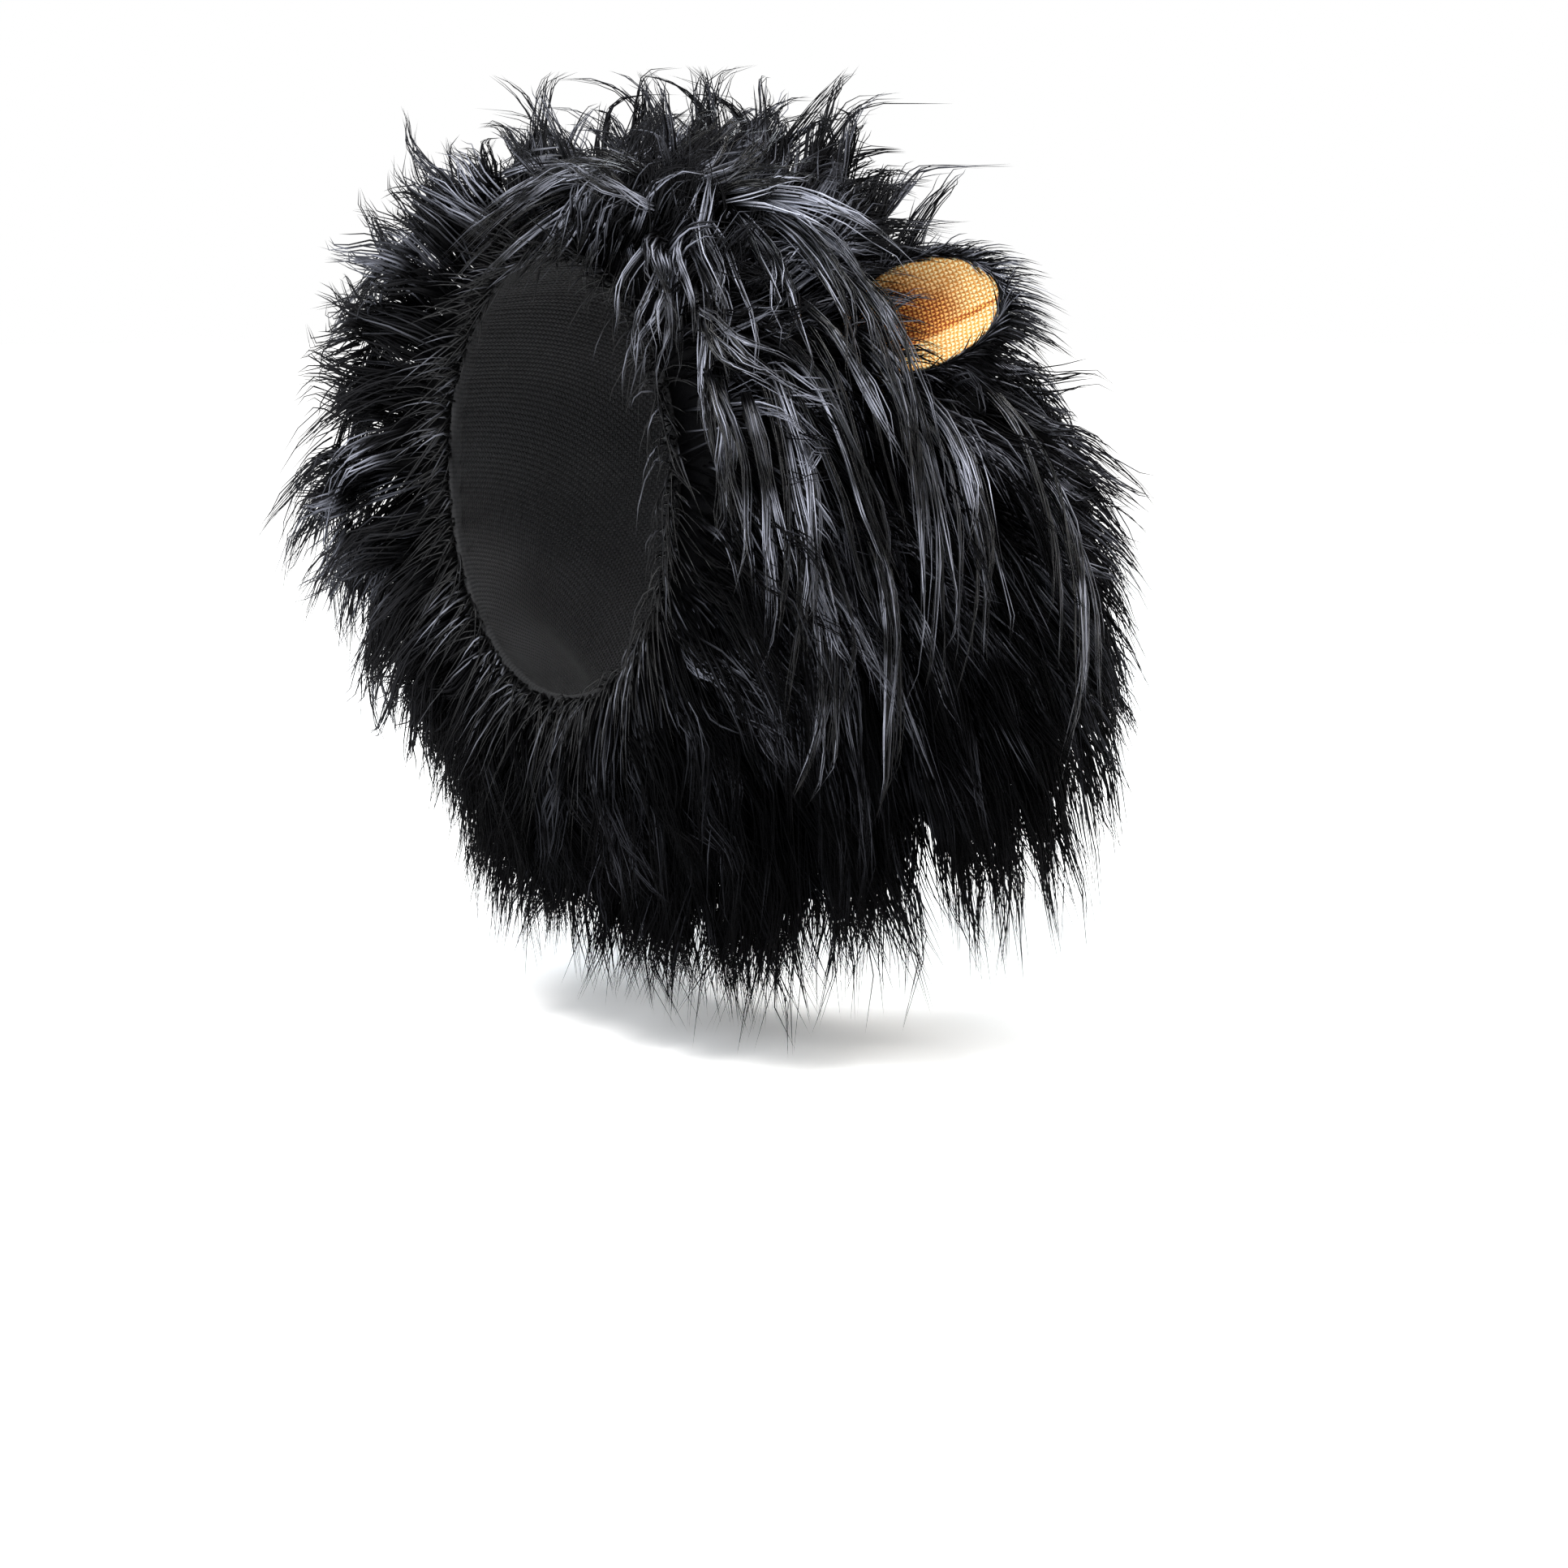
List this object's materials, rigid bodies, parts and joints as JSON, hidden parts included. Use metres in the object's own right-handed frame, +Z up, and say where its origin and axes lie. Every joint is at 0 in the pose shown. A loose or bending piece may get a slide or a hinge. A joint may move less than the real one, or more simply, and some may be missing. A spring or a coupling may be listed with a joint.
{
  "type": "pet lion mane wig",
  "caption": "Hood for a large dog covered in long shaggy mane pile, with an open face, an open neck and cupped lion ears with knit lining.",
  "frame": {"origin": "where the hood rests on the crown of the head, on the inner side of its cloth and in its middle plane", "axes": "+Z up, -Y out of the face opening, +X to the wearer's left"},
  "size_m": [0.4077, 0.3594, 0.4327],
  "materials": {
    "black_knit": "matte knit jersey",
    "black_pile": "long synthetic pile with a soft sheen",
    "tan_knit": "coarse knit mesh"
  },
  "bodies": {
    "root": {"hood_backing": "black_knit", "mane_left": "black_pile", "mane_right": "black_pile", "forelock": "black_pile", "ear_left_back": "black_pile", "ear_right_back": "black_pile", "ear_left_lining": "tan_knit", "ear_right_lining": "tan_knit"}
  },
  "joints": []
}
